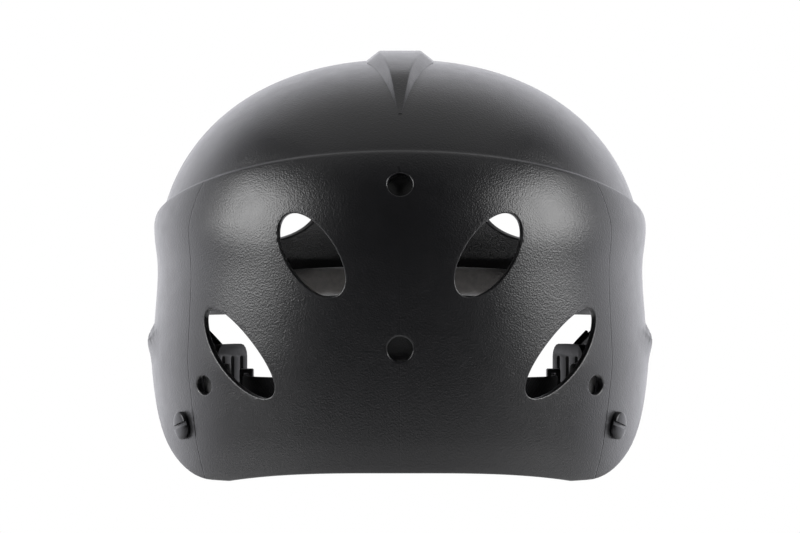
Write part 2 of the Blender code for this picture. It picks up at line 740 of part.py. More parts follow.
# ---- chin strap and buckle -------------------------------------------------------------
def chin_route(end_x):
    """Centres of the chin strap from the left divider to end_x on its rear run."""
    corner_x = LOOP_HALF_WIDTH - LOOP_CORNER
    corner_y = LOOP_REAR - LOOP_CORNER
    steps = 10
    route = [Vector((LOOP_HALF_WIDTH, PIVOT_Y + (corner_y - PIVOT_Y) * k / 2, LOOP_LEVEL)) for k in range(2)]
    for k in range(steps + 1):
        turn = math.radians(90 * k / steps)
        route.append(Vector((corner_x + LOOP_CORNER * math.cos(turn),
                             corner_y + LOOP_CORNER * math.sin(turn), LOOP_LEVEL)))
    route.append(Vector((end_x, LOOP_REAR, LOOP_LEVEL)))
    return route


def make_chin_straps():
    female_end = BUCKLE_BODY_LENGTH + FIT_GAP * 2
    male_end = BUCKLE_PLATE_LENGTH / 3
    for side, sign, end_x in (("left", 1, female_end), ("right", -1, male_end)):
        route = [Vector((point.x * sign, point.y, point.z)) for point in chin_route(end_x)]
        upward = [Vector((0, 0, 1))] * len(route)
        ribbon(f"chin_strap_{side}", route, upward, WEBBING_BLACK)


def make_keepers():
    """Loops round the chin strap's side runs."""
    half_x = WEBBING_THICK / 2 + KEEPER_ROOM
    half_z = WEBBING_WIDTH / 2 + KEEPER_ROOM
    for side, sign in SIDES:
        middle = Vector((LOOP_HALF_WIDTH * sign, KEEPER_Y, LOOP_LEVEL))
        outer = Vector((half_x + KEEPER_WALL, KEEPER_LENGTH / 2, half_z + KEEPER_WALL))
        inner = Vector((half_x, KEEPER_LENGTH, half_z))
        keeper = box_object(f"strap_keeper_{side}", middle - outer, middle + outer, ACETAL_BLACK)
        add_boolean(keeper, box_object(f"keeper_hollow_{side}", middle - inner, middle + inner))
        bevel = keeper.modifiers.new("edges", "BEVEL")
        bevel.width = 0.0005
        bevel.segments = 1


def buckle_frame():
    """Buckle's own plane: X towards the body, Y up, Z out of the helmet."""
    matrix = Matrix.Rotation(math.radians(90), 4, "X")
    matrix.translation = Vector((0, BUCKLE_Y, LOOP_LEVEL))
    return matrix


def make_male():
    """Male half: slotted plate, guide and two sprung prongs, in one flat moulding."""
    half = BUCKLE_TALL / 2
    outer = half - 0.0012
    inner = outer - PRONG_WIDTH
    neck = PRONG_LENGTH - PRONG_HEAD
    root = 0.0015
    prong = [(0, inner - root), (root, inner), (PRONG_LENGTH - 0.002, inner), (PRONG_LENGTH, outer - 0.001),
             (neck + 0.002, half), (neck, half), (neck, outer), (0, outer), (-0.001, half),
             (-BUCKLE_PLATE_LENGTH + 0.002, half), (-BUCKLE_PLATE_LENGTH, half - 0.002)]
    guide_top = [(GUIDE_LENGTH, 0.0006), (GUIDE_LENGTH - 0.001, GUIDE_HALF), (0, GUIDE_HALF)]
    top_side = guide_top + prong
    outline = top_side + [(x, -y) for x, y in reversed(top_side)]
    half_slot = WEBBING_WIDTH / 2 + 0.0005
    slots = [rounded_rectangle(SLOT_WIDTH / 2, half_slot, 0.001, centre=(x, 0), steps=2)
             for x in (-BUCKLE_PLATE_LENGTH * 0.36, -BUCKLE_PLATE_LENGTH * 0.72)]
    flat_plate("buckle_male", [outline] + slots, BUCKLE_PLATE, buckle_frame(), ACETAL_BLACK)


def make_female():
    """Female half: hollow body whose side slots show the prongs."""
    half_y = BUCKLE_PLATE / 2 + BUCKLE_ROOM
    half_z = BUCKLE_TALL / 2 + BUCKLE_ROOM
    centre = Vector((0, BUCKLE_Y, LOOP_LEVEL))
    low = centre + Vector((FIT_GAP, -half_y - BUCKLE_WALL, -half_z))
    high = centre + Vector((BUCKLE_BODY_LENGTH, half_y + BUCKLE_WALL, half_z))
    body = box_object("buckle_female", low, high, ACETAL_BLACK)
    deep = PRONG_LENGTH + 0.0015
    hollow = box_object("buckle_hollow", centre + Vector((-0.005, -half_y, -half_z - 0.005)),
                        centre + Vector((deep, half_y, half_z + 0.005)))
    bar_slot = box_object("buckle_bar_slot",
                          centre + Vector((deep + 0.003, -0.02, -WEBBING_WIDTH / 2 - 0.0005)),
                          centre + Vector((deep + 0.003 + SLOT_WIDTH, 0.02, WEBBING_WIDTH / 2 + 0.0005)))
    add_boolean(body, hollow)
    add_boolean(body, bar_slot)


# ---- assembly --------------------------------------------------------------------------
for old in list(bpy.data.objects):
    bpy.data.objects.remove(old, do_unlink=True)
parts = bpy.data.collections.new("water_helmet")
cutters = bpy.data.collections.new("cutters")
bpy.context.scene.collection.children.link(parts)
bpy.context.scene.collection.children.link(cutters)

make_shell()
make_pads()
make_anchor("front", FRONT_ANCHOR, -DIVIDER_LENGTH / 2 + 0.006, 0.006)
make_anchor("rear", REAR_ANCHOR, DIVIDER_LENGTH / 2 - 0.003, -0.004)
make_dividers()
make_chin_straps()
make_keepers()
make_male()
make_female()
bpy.context.view_layer.update()
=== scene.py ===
"""Looks of the half-cut water helmet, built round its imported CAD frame."""
import json
import math

import bmesh
import bpy
from mathutils import Matrix, Vector


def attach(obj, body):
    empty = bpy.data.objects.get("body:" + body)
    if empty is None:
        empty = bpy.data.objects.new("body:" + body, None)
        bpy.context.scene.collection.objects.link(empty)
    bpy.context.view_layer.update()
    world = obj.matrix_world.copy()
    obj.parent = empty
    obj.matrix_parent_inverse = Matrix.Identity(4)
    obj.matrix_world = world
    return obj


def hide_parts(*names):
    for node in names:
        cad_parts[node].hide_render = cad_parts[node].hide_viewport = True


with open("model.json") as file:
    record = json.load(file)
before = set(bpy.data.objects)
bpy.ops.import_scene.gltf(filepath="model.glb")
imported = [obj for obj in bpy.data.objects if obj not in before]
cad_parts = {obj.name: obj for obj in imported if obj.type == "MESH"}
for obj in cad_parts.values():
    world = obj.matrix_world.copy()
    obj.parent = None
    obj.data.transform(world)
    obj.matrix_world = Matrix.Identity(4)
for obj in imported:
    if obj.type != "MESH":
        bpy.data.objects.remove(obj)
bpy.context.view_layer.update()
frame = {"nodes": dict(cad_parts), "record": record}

# ---- sizes shared with the shell's CAD shape, in metres ------------------------------------
HALF_WIDTH = 0.1125
REAR_DEPTH = 0.138
FRONT_DEPTH = 0.139
BASE_HEIGHT = 0.095
DOME_HEIGHT = 0.096
WALL = 0.003
PLAN_POWER = 2.1
DOME_POWER = 2.2
SIDE_SWELL = ((0.0, -0.0024), (0.015, 0.0001), (0.038, 0.0018), (0.052, 0.0028), (0.070, 0.0014),
              (0.088, 0.0001), (0.098, 0.0002), (0.108, 0.0020), (0.116, 0.0032), (0.200, 0.0032))
REAR_SWELL = ((0.0, -0.0110), (0.020, -0.0060), (0.050, -0.0020), (0.095, 0.0008), (0.200, 0.0008))
FRONT_SWELL = ((0.0, -0.0060), (0.060, 0.0010), (0.095, 0.0020), (0.200, 0.0020))
LIP_HEIGHT, LIP_SLOPE, LIP_CURVE = 0.116, 0.175, 0.5
LIP_BLEND_BELOW, LIP_BLEND_RUN = 0.012, 0.014
EDGE_RISE, EDGE_START, EDGE_RUN = 0.0715, 0.085, 0.125
NAPE_ARCH, NAPE_ARCH_HALF = 0.0051, 0.076
BROW_ARCH, BROW_ARCH_HALF = 0.004, 0.070
RIB_HEIGHT, RIB_LEVEL, RIB_LOW_Y = 0.0024, 0.061, 0.018
RIB_TAIL_RISE, RIB_TAIL_RUN, RIB_TAIL_FADE = 0.005, 0.030, 0.028
RIB_FRONT_RISE, RIB_FRONT_RUN, RIB_FRONT_FADE = 0.006, 0.030, 0.030
RIB_FADE, RIB_SHARP = 0.011, 0.004
SPINE_HEIGHT, SPINE_HALF_BASE, SPINE_TIP_HALF = 0.0038, 0.0152, 0.0011
SPINE_TOP_SHARE, SPINE_WIDE, SPINE_TIP, SPINE_SINK = 0.625, 0.038, 0.105, 0.0015
UPPER_VENT = dict(angle=70.9, height=0.100, half_long=0.0213, half_wide=0.0111, tilt=35)
LOWER_VENT = dict(angle=52.0, height=0.057, half_long=0.0267, half_wide=0.0104, tilt=52.5)
FRONT_VENT = dict(angle=-57.0, height=0.1215, half_long=0.022, half_wide=0.0125, tilt=84)
FRONT_ANCHOR = dict(angle=-22.5, height=0.088)
REAR_ANCHOR = dict(angle=32.1, height=0.024)
SIDE_HOLE = dict(angle=41.7, height=0.0425, half_long=0.0042, half_wide=0.0056, tilt=0)
CENTRE_HOLES = (0.1307, 0.0593)
CENTRE_HOLE_RADIUS, ANCHOR_HOLE_RADIUS = 0.0055, 0.0035
PARTING_Y, PARTING_HALF = 0.082, 0.00032    # the mould's side parting lines
EDGE_ROUND = 0.0007        # rounding of the vents' and holes' edges
RIM_ROUND = 0.0011
PAD_OVER_SEAT = 0.0002     # how far a pad's cover may pass its CAD solid towards the wall
SEAT_GAP = 0.0003
SCREW_HEAD_RADIUS, SCREW_HEAD_HEIGHT, SHANK_RADIUS = 0.00625, 0.0026, 0.0020
SCREW_SLOT_WIDTH, SCREW_SLOT_DEPTH, SLOT_TURN = 0.0019, 0.0016, 16
TAB_LENGTH, TAB_WIDTH, TAB_THICK, TAB_STANDOFF = 0.024, 0.022, 0.0015, 0.0020
WEBBING_WIDTH, WEBBING_THICK, STRAP_PULL = 0.020, 0.0016, 0.22
LOOP_INSET, LOOP_REAR_INSET, LOOP_CORNER, LOOP_LEVEL, PIVOT_Y = 0.0425, 0.041, 0.034, 0.036, 0.006
DIVIDER_LENGTH, DIVIDER_THICK, DIVIDER_TURN = 0.030, 0.004, 25
DIVIDER_STANDOFF, DIVIDER_LIFT = 0.0095, 0.007
FRONT_SLOT = (-DIVIDER_LENGTH / 2 + 0.006, 0.006)     # on the divider plate, along and up
REAR_SLOT = (DIVIDER_LENGTH / 2 - 0.003, -0.004)
BUCKLE_BODY_LENGTH, BUCKLE_PLATE_LENGTH = 0.029, 0.024
SIDES = (("left", 1), ("right", -1))

# ---- fineness of the meshes ----------------------------------------------------------------
SHELL_COLUMNS, SKIRT_ROWS, DOME_ROWS, INNER_ROWS = 104, 54, 104, 56
INNER_SKIRT_SHARE = 0.4
ROUNDING_STEPS = 4
SPINE_STATIONS = 90
STRAP_COLUMNS, STRAP_STEPS = 12, 44
FOLD_MIDDLE, FOLD_REACH = 7, 6
CHIN_SIDE_STEPS, CHIN_CORNER_STEPS, CHIN_REAR_STEPS = 20, 24, 16
WELD = 0.000005

# ---- sewing, weave and padding -------------------------------------------------------------
THREAD_RADIUS, STITCH_PITCH, STITCH_SINK = 0.00022, 0.0024, 0.0002
TACK_LENGTH, TACK_WIDTH = 0.011, 0.015
SINGLE_TACK_LIFT, DOUBLE_TACK_LIFT = 0.0009, 0.0017
WEAVE_RIB, WEAVE_ROW, WEAVE_LEAN = 0.0011, 0.0016, 0.0022
PAD_SHRINK = 0.0007
PAD_PRESSURE, PAD_FRAMES = 4, 20

# ---- studio --------------------------------------------------------------------------------
CAMERA_DISTANCE, CAMERA_LENS = 1.8, 173.8
FLOOR_RADIUS, FLOOR_DROP = 1.5, 0.40
SOFTBOXES = (("softbox_left", (1.45, 0.35, 0.62), 1.05, 30),
             ("softbox_right", (-1.45, 0.35, 0.62), 1.05, 30),
             ("softbox_top", (0, -0.35, 1.6), 2.0, 7))


# ---- small helpers -------------------------------------------------------------------------
def ease(share):
    share = min(max(share, 0.0), 1.0)
    return share * share * (3 - 2 * share)


def read_curve(points, height):
    """Value at a height on a smooth outline through (height, value) points."""
    if height <= points[0][0]:
        return points[0][1]
    for k in range(len(points) - 1):
        if height > points[k + 1][0]:
            continue
        before = points[max(k - 1, 0)]
        after = points[min(k + 2, len(points) - 1)]
        low, high = points[k], points[k + 1]
        slope_low = (high[1] - before[1]) / (high[0] - before[0])
        slope_high = (after[1] - low[1]) / (after[0] - low[0])
        span = high[0] - low[0]
        t = (height - low[0]) / span
        return ((2 * t ** 3 - 3 * t ** 2 + 1) * low[1] + (t ** 3 - 2 * t ** 2 + t) * span * slope_low
                + (3 * t ** 2 - 2 * t ** 3) * high[1] + (t ** 3 - t ** 2) * span * slope_high)
    return points[-1][1]


def deselect():
    bpy.ops.object.select_all(action="DESELECT")


def activate(item):
    deselect()
    item.select_set(True)
    bpy.context.view_layer.objects.active = item


def apply_modifier(item, kind, **settings):
    """Add a modifier, set it and apply it."""
    activate(item)
    modifier = item.modifiers.new(kind.lower(), kind)
    for name, value in settings.items():
        setattr(modifier, name, value)
    bpy.ops.object.modifier_apply(modifier=modifier.name)


def smooth(item, degrees=35):
    activate(item)
    bpy.ops.object.shade_smooth_by_angle(angle=math.radians(degrees))


def finish_piece(item, name, material, body, replaced=()):
    """Name a piece, give it its material and let it ride on its body."""
    item.name = name
    item.data.name = name
    item.data.materials.clear()
    item.data.materials.append(material)
    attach(item, body)
    if replaced:
        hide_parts(*replaced)
    return item


def bridge_rings(bm, rings):
    """Close a tube of equal rings, with a face over each end."""
    for first, second in zip(rings, rings[1:]):
        for k in range(len(first)):
            following = (k + 1) % len(first)
            bm.faces.new((first[k], first[following], second[following], second[k]))
    bm.faces.new(rings[0])
    bm.faces.new(rings[-1])
    bmesh.ops.recalc_face_normals(bm, faces=bm.faces)


def grid_piece(columns, rows, place):
    """A primitive grid whose corners are moved to place(column share, row number)."""
    deselect()
    bpy.ops.mesh.primitive_grid_add(x_subdivisions=columns, y_subdivisions=rows, size=1, calc_uvs=True)
    item = bpy.context.object
    for vertex in item.data.vertices:
        vertex.co = place(vertex.co.x + 0.5, round((vertex.co.y + 0.5) * rows))
    return item


def mesh_piece(name, bm):
    """Object from a finished bmesh."""
    mesh = bpy.data.meshes.new(name)
    bm.to_mesh(mesh)
    bm.free()
    item = bpy.data.objects.new(name, mesh)
    bpy.context.scene.collection.objects.link(item)
    return item


def merge_and_face_out(item):
    """Weld corners that meet and turn every face outwards."""
    activate(item)
    bpy.ops.object.mode_set(mode="EDIT")
    bpy.ops.mesh.select_all(action="SELECT")
    bpy.ops.mesh.remove_doubles(threshold=WELD)
    bpy.ops.mesh.normals_make_consistent(inside=False)
    bpy.ops.object.mode_set(mode="OBJECT")


# ---- the shell's surface -------------------------------------------------------------------
def dome_share(height):
    rise = min(max((height - BASE_HEIGHT) / DOME_HEIGHT, 0.0), 1.0)
    return (1 - rise ** DOME_POWER) ** (1 / DOME_POWER)


def plan_point(angle, half_width, half_depth, height):
    across = math.cos(math.radians(angle))
    along = math.sin(math.radians(angle))
    if abs(across) < 1e-9:
        across = 0.0
    power = 2 / PLAN_POWER
    return Vector((half_width * abs(across) ** power * math.copysign(1, across),
                   half_depth * abs(along) ** power * math.copysign(1, along), height))


def rib_amount(y, height):
    """How far the side rib stands out from the skirt."""
    along = (ease((RIB_LOW_Y + RIB_TAIL_RUN - y) / RIB_TAIL_FADE)
             * ease((y - RIB_LOW_Y + RIB_FRONT_RUN + 0.010) / RIB_FRONT_FADE))
    crest = (RIB_LEVEL + RIB_TAIL_RISE * ease((y - RIB_LOW_Y) / RIB_TAIL_RUN)
             + RIB_FRONT_RISE * ease((RIB_LOW_Y - y) / RIB_FRONT_RUN))
    above = height - crest
    across = ease(1 - above / RIB_SHARP) if above > 0 else ease(1 + above / RIB_FADE)
    return RIB_HEIGHT * along * across


def skirt_point(angle, height, ribbed=True):
    share = dome_share(height)
    half_width = HALF_WIDTH * share + read_curve(SIDE_SWELL, height)
    depth, swell = (REAR_DEPTH, REAR_SWELL) if angle > 0 else (FRONT_DEPTH, FRONT_SWELL)
    point = plan_point(angle, half_width, depth * share + read_curve(swell, height), height)
    if ribbed and point.x:
        point.x += math.copysign(rib_amount(point.y, height), point.x)
    return point


def dome_point(angle, height):
    share = dome_share(height)
    half_depth = REAR_DEPTH if angle > 0 else FRONT_DEPTH
    return plan_point(angle, HALF_WIDTH * share, half_depth * share, height)


def lip_height(angle):
    height = LIP_HEIGHT
    for _ in range(8):
        y = skirt_point(angle, height, False).y
        height = LIP_HEIGHT + LIP_SLOPE * y + LIP_CURVE * y * y
    return height


def rim_height(point):
    sweep = EDGE_RISE * ease((EDGE_START - point.y) / EDGE_RUN)
    nape = NAPE_ARCH * (1 - min(abs(point.x) / NAPE_ARCH_HALF, 1.0) ** 3) * ease(point.y / EDGE_START)
    brow = BROW_ARCH * (1 - ease(abs(point.x) / BROW_ARCH_HALF)) * ease(-point.y / EDGE_START)
    return sweep + nape + brow


def rim_level(angle):
    height = 0.0
    for _ in range(12):
        height = rim_height(skirt_point(angle, height, False))
    return height


def wall_point(angle, height, lip, ribbed=False):
    """The wall without its sharp lip: skirt eased into dome."""
    blend = ease((height - lip + LIP_BLEND_BELOW) / LIP_BLEND_RUN)
    return skirt_point(angle, height, ribbed).lerp(dome_point(angle, height), blend)


def wall_frame(angle, height, depth=0.0, lip=None):
    """Matrix under the outer face: X level, Y up the face, Z straight out."""
    lip = lip_height(angle) + 1.0 if lip is None else lip
    point = wall_point(angle, height, lip)
    level = wall_point(angle - 0.1, height, lip) - wall_point(angle + 0.1, height, lip)
    upward = wall_point(angle, height + 0.0005, lip) - wall_point(angle, height - 0.0005, lip)
    outward = upward.cross(level).normalized()
    if outward.dot(Vector((point.x, point.y, 0))) < 0:
        outward.negate()
    upward = (upward - outward * upward.dot(outward)).normalized()
    matrix = Matrix((upward.cross(outward), upward, outward)).transposed().to_4x4()
    matrix.translation = point - outward * depth
    return matrix


def outer_frame(place, sign=1):
    """Frame on the outer face at a named place, on either side of the helmet."""
    angle, height = place["angle"], place["height"]
    lip = lip_height(angle)
    matrix = wall_frame(angle, height, 0.0, lip - 1.0 if height > lip else lip + 1.0)
    if sign > 0:
        return matrix
    flip = Matrix.Diagonal((-1, 1, 1, 1))
    return flip @ matrix @ flip


# ---- camera, light, floor ------------------------------------------------------------------
def make_studio():
    camera_data = bpy.data.cameras.new("camera")
    camera = bpy.data.objects.new("camera", camera_data)
    bpy.context.scene.collection.objects.link(camera)
    bpy.context.scene.camera = camera
    camera_data.lens = CAMERA_LENS
    camera_data.sensor_width = 36
    camera.location = (0, CAMERA_DISTANCE, BASE_HEIGHT)
    camera.rotation_euler = (math.radians(90), 0, math.radians(180))
    bpy.context.scene.view_settings.view_transform = "Standard"

    world = bpy.data.worlds.new("studio")
    bpy.context.scene.world = world
    world.use_nodes = True
    tree = world.node_tree
    tree.nodes.clear()
    output = tree.nodes.new("ShaderNodeOutputWorld")
    coords = tree.nodes.new("ShaderNodeTexCoord")
    split = tree.nodes.new("ShaderNodeSeparateXYZ")
    ramp = tree.nodes.new("ShaderNodeValToRGB")
    ramp.color_ramp.elements[0].position = 0.22
    ramp.color_ramp.elements[0].color = (1.75, 1.75, 1.85, 1)
    ramp.color_ramp.elements[1].position = 0.50
    ramp.color_ramp.elements[1].color = (0.012, 0.012, 0.013, 1)
    shift = tree.nodes.new("ShaderNodeMath")
    shift.operation = "MULTIPLY_ADD"
    shift.inputs[1].default_value = 0.5
    shift.inputs[2].default_value = 0.5
    lit = tree.nodes.new("ShaderNodeBackground")
    seen = tree.nodes.new("ShaderNodeBackground")
    seen.inputs["Color"].default_value = (1, 1, 1, 1)
    path = tree.nodes.new("ShaderNodeLightPath")
    mix = tree.nodes.new("ShaderNodeMixShader")
    tree.links.new(coords.outputs["Generated"], split.inputs[0])
    upper = tree.nodes.new("ShaderNodeMath")
    upper.operation = "MAXIMUM"
    upper.inputs[1].default_value = 0
    lean = tree.nodes.new("ShaderNodeMath")
    lean.operation = "MULTIPLY_ADD"
    lean.inputs[1].default_value = 0.75
    tree.links.new(split.outputs["Z"], upper.inputs[0])
    tree.links.new(upper.outputs[0], lean.inputs[0])
    tree.links.new(split.outputs["Y"], lean.inputs[2])
    tree.links.new(lean.outputs[0], shift.inputs[0])
    tree.links.new(shift.outputs[0], ramp.inputs[0])
    tree.links.new(ramp.outputs[0], lit.inputs["Color"])
    tree.links.new(path.outputs["Is Camera Ray"], mix.inputs[0])
    tree.links.new(lit.outputs[0], mix.inputs[1])
    tree.links.new(seen.outputs[0], mix.inputs[2])
    tree.links.new(mix.outputs[0], output.inputs[0])

    aim = Vector((0, 0, BASE_HEIGHT))
    for name, place, size, power in SOFTBOXES:
        light = bpy.data.lights.new(name, "AREA")
        light.shape = "SQUARE"
        light.size = size
        light.energy = power
        lamp = bpy.data.objects.new(name, light)
        bpy.context.scene.collection.objects.link(lamp)
        lamp.location = place
        lamp.rotation_euler = (aim - Vector(place)).to_track_quat("-Z", "Y").to_euler()

    deselect()
    bpy.ops.mesh.primitive_circle_add(vertices=96, radius=FLOOR_RADIUS, fill_type="NGON",
                                      location=(0, 0, -FLOOR_DROP))
    floor = bpy.context.object
    floor.name = "floor"
    pale = bpy.data.materials.new("pale_floor")
    pale.use_nodes = True
    pale.node_tree.nodes["Principled BSDF"].inputs["Base Color"].default_value = (0.86, 0.86, 0.86, 1)
    pale.node_tree.nodes["Principled BSDF"].inputs["Roughness"].default_value = 0.8
    floor.data.materials.append(pale)


# ---- materials -----------------------------------------------------------------------------
class Finish:
    """A Principled material with a few helpers for its pattern nodes."""

    def __init__(self, name, colour, roughness, metallic=0.0):
        self.material = bpy.data.materials.new(name)
        self.material.use_nodes = True
        self.tree = self.material.node_tree
        self.shader = self.tree.nodes["Principled BSDF"]
        self.shader.inputs["Base Color"].default_value = (*colour, 1)
        self.shader.inputs["Roughness"].default_value = roughness
        self.shader.inputs["Metallic"].default_value = metallic
        self.coords = self.tree.nodes.new("ShaderNodeTexCoord")

    def link(self, source, target):
        self.tree.links.new(source, target)

    def noise(self, scale, detail=2.0, roughness=0.5):
        node = self.tree.nodes.new("ShaderNodeTexNoise")
        node.inputs["Scale"].default_value = scale
        node.inputs["Detail"].default_value = detail
        node.inputs["Roughness"].default_value = roughness
        self.link(self.coords.outputs["Object"], node.inputs["Vector"])
        return node.outputs["Fac"]

    def cells(self, scale):
        node = self.tree.nodes.new("ShaderNodeTexVoronoi")
        node.feature = "SMOOTH_F1"
        node.inputs["Scale"].default_value = scale
        self.link(self.coords.outputs["Object"], node.inputs["Vector"])
        return node.outputs["Distance"]

    def math(self, operation, first, second):
        node = self.tree.nodes.new("ShaderNodeMath")
        node.operation = operation
        for socket, value in zip(node.inputs, (first, second)):
            if isinstance(value, (int, float)):
                socket.default_value = value
            else:
                self.link(value, socket)
        return node.outputs[0]

    def span(self, value, low, high, start=0.0, end=1.0):
        node = self.tree.nodes.new("ShaderNodeMapRange")
        node.inputs["From Min"].default_value = start
        node.inputs["From Max"].default_value = end
        node.inputs["To Min"].default_value = low
        node.inputs["To Max"].default_value = high
        self.link(value, node.inputs["Value"])
        return node.outputs["Result"]

    def tint(self, value, dark, light):
        node = self.tree.nodes.new("ShaderNodeMix")
        node.data_type = "RGBA"
        self.link(value, node.inputs["Factor"])
        node.inputs[6].default_value = (*dark, 1)
        node.inputs[7].default_value = (*light, 1)
        self.link(node.outputs[2], self.shader.inputs["Base Color"])

    def bump(self, height, distance, strength=1.0, under=None):
        node = self.tree.nodes.new("ShaderNodeBump")
        node.inputs["Distance"].default_value = distance
        node.inputs["Strength"].default_value = strength
        self.link(height, node.inputs["Height"])
        if under is not None:
            self.link(under, node.inputs["Normal"])
        self.link(node.outputs["Normal"], self.shader.inputs["Normal"])
        return node.outputs["Normal"]


def make_shell_finish():
    """Pebble-grained black ABS."""
    finish = Finish("shell_abs", (0.006, 0.006, 0.0070), 0.38)
    broad = finish.noise(28, 3)
    fine = finish.noise(2600, 2, 0.6)
    pebbles = finish.cells(1450)
    finish.tint(broad, (0.0052, 0.0052, 0.0060), (0.0085, 0.0085, 0.0096))
    finish.link(finish.span(finish.noise(140, 3), 0.29, 0.38), finish.shader.inputs["Roughness"])
    split = finish.tree.nodes.new("ShaderNodeSeparateXYZ")
    finish.link(finish.coords.outputs["Object"], split.inputs[0])
    x, y, z = split.outputs
    below_lip = finish.math("LESS_THAN", z, LIP_HEIGHT + LIP_SLOPE * PARTING_Y + LIP_CURVE * PARTING_Y ** 2)
    side_line = finish.span(finish.math("ABSOLUTE", finish.math("SUBTRACT", y, PARTING_Y), 0),
                            1.0, 0.0, 0.0, PARTING_HALF)
    side_line = finish.math("MULTIPLY", side_line, below_lip)
    rear = finish.math("MULTIPLY", finish.math("GREATER_THAN", y, 0.05), below_lip)
    centre_line = finish.span(finish.math("ABSOLUTE", x, 0), 0.07, 0.0, 0.0, PARTING_HALF)
    groove = finish.math("MAXIMUM", side_line, finish.math("MULTIPLY", centre_line, rear))
    lines = finish.bump(finish.math("SUBTRACT", 1.0, groove), 0.0005)
    grain = finish.bump(pebbles, 0.00022, 0.42, lines)
    finish.bump(fine, 0.00005, 0.4, grain)
    return finish.material


def make_pad_finish():
    """Brushed cloth over foam, with painted shade: near black where the cover turns towards the shell wall.
    """
    finish = Finish("pad_foam", (0.042, 0.038, 0.036), 0.92)
    nap = finish.noise(2400, 3, 0.7)
    share = finish.tree.nodes.new("ShaderNodeAttribute")
    share.attribute_name = "faces_away_from_wall"
    # painted shade mask: 1 where the cover faces inward, 0 where it faces the shell wall
    cloth = finish.span(share.outputs["Fac"], 0.0, 1.0, 0.35, 0.6)
    patch = finish.span(finish.noise(420, 4), 0.55, 1.0, 0.3, 0.7)
    # the near-black end of this tint is painted shade on the wall-facing parts of the same cloth; the noise
    # patch only varies the tone at random
    finish.tint(finish.math("MULTIPLY", cloth, patch), (0.010, 0.010, 0.0105), (0.060, 0.054, 0.050))
    finish.shader.inputs["Sheen Weight"].default_value = 0.35
    finish.shader.inputs["Sheen Roughness"].default_value = 0.6
    soft = finish.bump(finish.noise(90, 2), 0.0012, 0.25)
    finish.bump(nap, 0.0003, 0.6, soft)
    return finish.material


def make_webbing_finish():
    """Woven nylon: cross ribs and a herringbone, laid along the strap's own map."""
    finish = Finish("webbing", (0.012, 0.012, 0.013), 0.82)
    split = finish.tree.nodes.new("ShaderNodeSeparateXYZ")
    finish.link(finish.coords.outputs["UV"], split.inputs[0])
    along, across = split.outputs["X"], split.outputs["Y"]
    ribs = finish.math("SINE", finish.math("MULTIPLY", along, 2 * math.pi / WEAVE_RIB), 0)
    rows = finish.math("SINE", finish.math("MULTIPLY", across, 2 * math.pi / WEAVE_ROW), 0)
    lean = finish.math("SINE", finish.math("MULTIPLY", finish.math("ADD", along, across),
                                           2 * math.pi / WEAVE_LEAN), 0)
    weave = finish.math("ADD", finish.math("MULTIPLY", ribs, rows), finish.math("MULTIPLY", lean, 0.4))
    level = finish.span(weave, 0, 1, -1.4, 1.4)
    finish.tint(level, (0.004, 0.004, 0.005), (0.015, 0.015, 0.017))
    finish.shader.inputs["Specular IOR Level"].default_value = 0.25
    fibre = finish.bump(finish.noise(3200, 2), 0.0001, 0.4)
    finish.bump(level, 0.00035, 0.8, fibre)
    return finish.material


def make_thread_finish():
    """Waxed polyester thread."""
    finish = Finish("thread", (0.020, 0.020, 0.021), 0.6)
    finish.tint(finish.noise(1500, 3), (0.014, 0.014, 0.015), (0.034, 0.034, 0.036))
    finish.bump(finish.noise(5200, 2), 0.0001, 0.5)
    return finish.material


def make_plastic_finish():
    """Satin acetal of buckles, dividers and tabs."""
    finish = Finish("harness_plastic", (0.008, 0.008, 0.009), 0.5)
    finish.shader.inputs["Specular IOR Level"].default_value = 0.25
    finish.tint(finish.noise(180, 3), (0.006, 0.006, 0.007), (0.010, 0.010, 0.011))
    finish.link(finish.span(finish.noise(500, 3), 0.42, 0.58), finish.shader.inputs["Roughness"])
    finish.bump(finish.noise(2200, 2), 0.00008, 0.4)
    return finish.material


def make_screw_finish():
    """Black oxide steel, rubbed a little bright."""
    finish = Finish("screw_steel", (0.02, 0.02, 0.022), 0.33, 0.85)
    finish.tint(finish.noise(900, 4, 0.7), (0.014, 0.014, 0.015), (0.05, 0.05, 0.052))
    finish.link(finish.span(finish.noise(1500, 3), 0.25, 0.45), finish.shader.inputs["Roughness"])
    finish.bump(finish.noise(3000, 2), 0.00005, 0.4)
    return finish.material


# ---- shell ---------------------------------------------------------------------------------
LIP_STEPS = ((-0.0013, 0.0), (-0.0006, 0.04), (-0.0002, 0.18), (0.0001, 0.45), (0.0003, 0.8),
             (0.0006, 0.97), (0.0012, 1.0))


